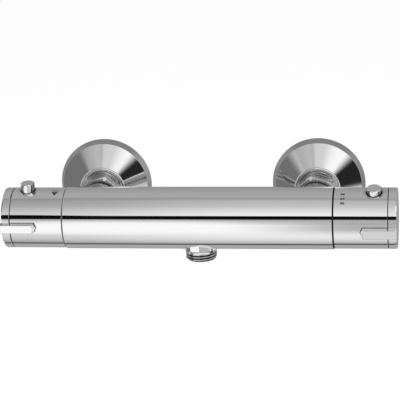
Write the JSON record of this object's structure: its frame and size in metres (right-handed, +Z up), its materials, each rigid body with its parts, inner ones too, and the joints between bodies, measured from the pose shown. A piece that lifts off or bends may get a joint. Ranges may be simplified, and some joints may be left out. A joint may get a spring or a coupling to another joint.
{
  "type": "thermostatic shower valve",
  "caption": "Wall mounted chrome bar shower valve with a flow handle, a temperature handle and a threaded hose outlet below.",
  "frame": {"origin": "on the finished wall, midway between the two wall connections", "axes": "+X along the bar to the temperature handle, +Y into the wall, +Z up"},
  "size_m": [0.2634, 0.1039, 0.0646],
  "materials": {
    "chrome_body": "polished chrome plating on cast brass",
    "chrome_flange": "polished chrome plating on pressed brass",
    "chrome_nut": "polished chrome plating on turned brass",
    "chrome_handle": "polished chrome plating",
    "chrome_cap": "polished chrome plating",
    "chrome_button": "polished chrome plating",
    "union_brass": "turned brass with a thin nickel wash",
    "inner_brass": "turned brass",
    "rubber": "black sealing rubber",
    "stainless": "etched stainless sheet",
    "spring_steel": "drawn stainless wire",
    "screw_steel": "plain stainless steel",
    "check_plastic": "natural acetal",
    "cartridge_plastic": "glass-filled engineering plastic",
    "wax_copper": "copper alloy capsule",
    "ceramic": "lapped alumina",
    "dark_plastic": "black acetal"
  },
  "bodies": {
    "valve": {"valve_body": "chrome_body", "outlet_nipple": "chrome_body", "wall_flange_left": "chrome_flange", "wall_flange_right": "chrome_flange", "union_nut_left": "chrome_nut", "union_nut_right": "chrome_nut", "s_union_left": "union_brass", "s_union_right": "union_brass", "inlet_nipple_left": "union_brass", "inlet_nipple_right": "union_brass", "thermo_nut": "inner_brass", "flow_housing": "inner_brass", "outlet_seal": "rubber", "inlet_washer_left": "rubber", "inlet_washer_right": "rubber", "thermo_seals": "rubber", "flow_seat_seal": "rubber", "flow_seals": "rubber", "inlet_strainer_left": "stainless", "inlet_strainer_right": "stainless", "check_spring_left": "spring_steel", "check_spring_right": "spring_steel", "thermo_return_spring": "spring_steel", "check_housing_left": "check_plastic", "check_housing_right": "check_plastic", "thermo_housing": "cartridge_plastic", "flow_fixed_disc": "ceramic", "temp_stop_ring": "dark_plastic", "flow_stop_ring": "dark_plastic", "temp_glide_ring": "dark_plastic", "flow_glide_ring": "dark_plastic"},
    "temperature_handle": {"temp_handle": "chrome_handle", "temp_lever_cap": "chrome_cap", "temp_screw": "screw_steel", "thermo_spindle": "inner_brass", "temp_button_spring": "spring_steel"},
    "thermostat": {"thermo_slide": "cartridge_plastic", "wax_element": "wax_copper", "thermo_drive": "inner_brass"},
    "temperature_button": {"temp_button": "chrome_button"},
    "flow_control": {"flow_handle": "chrome_handle", "flow_lever_cap": "chrome_cap", "flow_screw": "screw_steel", "flow_spindle": "inner_brass", "flow_turning_disc": "ceramic", "flow_button_spring": "spring_steel"},
    "flow_release": {"flow_button": "chrome_button"},
    "check_left": {"check_poppet_left": "check_plastic"},
    "check_right": {"check_poppet_right": "check_plastic"}
  },
  "joints": [
    {"name": "temperature_turn", "type": "hinge", "parent": "valve", "child": "temperature_handle", "pos_m": [0.1, -0.065, -0.004], "axis": [-1, 0, 0], "range_deg": [-100, 60]},
    {"name": "thermostat_shift", "type": "slide", "parent": "valve", "child": "thermostat", "axis": [1, 0, 0], "range_m": [-0.0007, 0.00045], "deforming": ["thermo_return_spring"]},
    {"name": "temperature_release", "type": "slide", "parent": "temperature_handle", "child": "temperature_button", "axis": [0, 0.2588, -0.9659], "range_m": [0, 0.0025], "stiffness_N_per_m": 500, "springref_m": -0.002, "deforming": ["temp_button_spring"]},
    {"name": "flow_turn", "type": "hinge", "parent": "valve", "child": "flow_control", "pos_m": [-0.1, -0.065, -0.004], "axis": [-1, 0, 0], "range_deg": [0, 90]},
    {"name": "flow_release_press", "type": "slide", "parent": "flow_control", "child": "flow_release", "axis": [0, 0.1045, -0.9945], "range_m": [0, 0.0025], "stiffness_N_per_m": 500, "springref_m": -0.002, "deforming": ["flow_button_spring"]},
    {"name": "check_left_lift", "type": "slide", "parent": "valve", "child": "check_left", "axis": [0, -1, 0], "range_m": [0, 0.003], "stiffness_N_per_m": 60, "springref_m": -0.003, "deforming": ["check_spring_left"]},
    {"name": "check_right_lift", "type": "slide", "parent": "valve", "child": "check_right", "axis": [0, -1, 0], "range_m": [0, 0.003], "stiffness_N_per_m": 60, "springref_m": -0.003, "deforming": ["check_spring_right"]}
  ],
  "couplings": [
    {"joint": "thermostat_shift", "follows": "temperature_turn", "m_per_rad": 0.00038197}
  ]
}
